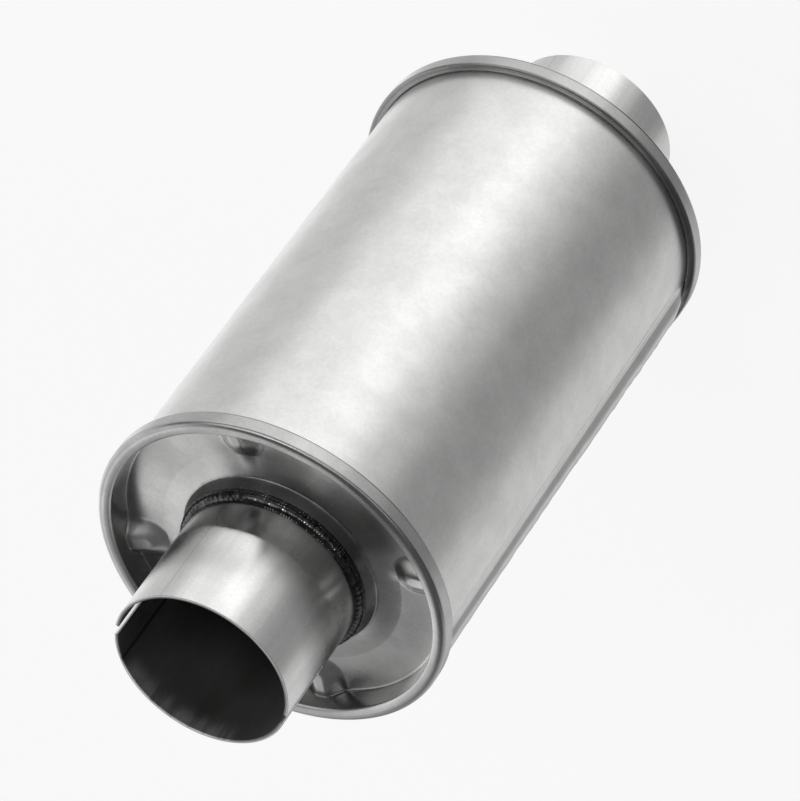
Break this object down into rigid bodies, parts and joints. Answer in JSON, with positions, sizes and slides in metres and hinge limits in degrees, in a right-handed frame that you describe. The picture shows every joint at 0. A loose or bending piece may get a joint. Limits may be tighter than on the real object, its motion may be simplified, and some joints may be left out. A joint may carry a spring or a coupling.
{
  "type": "exhaust muffler",
  "caption": "Round straight-through exhaust muffler with rolled rims, a folded lock seam, a slotted slip-on neck and a perforated core in fibre packing.",
  "frame": {"origin": "centre of the rear neck's end face, on which the muffler stands", "axes": "+Z along the muffler's axis, from the rear neck to the slotted front neck; -Y is the side that the picture shows"},
  "size_m": [0.1346, 0.1346, 0.3075],
  "materials": {
    "shell_steel": "satin aluminised sheet",
    "head_steel": "satin aluminised pressing",
    "neck_steel": "smooth drawn tube",
    "weld_metal": "rippled weld bead",
    "inner_steel": "plain sheet",
    "glass_fibre": "packed glass fibre",
    "wool_steel": "steel wool"
  },
  "bodies": {
    "root": {"outer_shell": "shell_steel", "inner_wrap": "inner_steel", "front_head": "head_steel", "rear_head": "head_steel", "front_neck": "neck_steel", "rear_neck": "neck_steel", "front_neck_weld": "weld_metal", "rear_neck_weld": "weld_metal", "core_tube": "inner_steel", "front_baffle": "inner_steel", "rear_baffle": "inner_steel", "front_core_tacks": "weld_metal", "rear_core_tacks": "weld_metal", "front_baffle_tacks": "weld_metal", "rear_baffle_tacks": "weld_metal", "front_packing": "glass_fibre", "middle_packing": "glass_fibre", "rear_packing": "glass_fibre", "steel_wool": "wool_steel", "tie_wires": "inner_steel"}
  },
  "joints": []
}
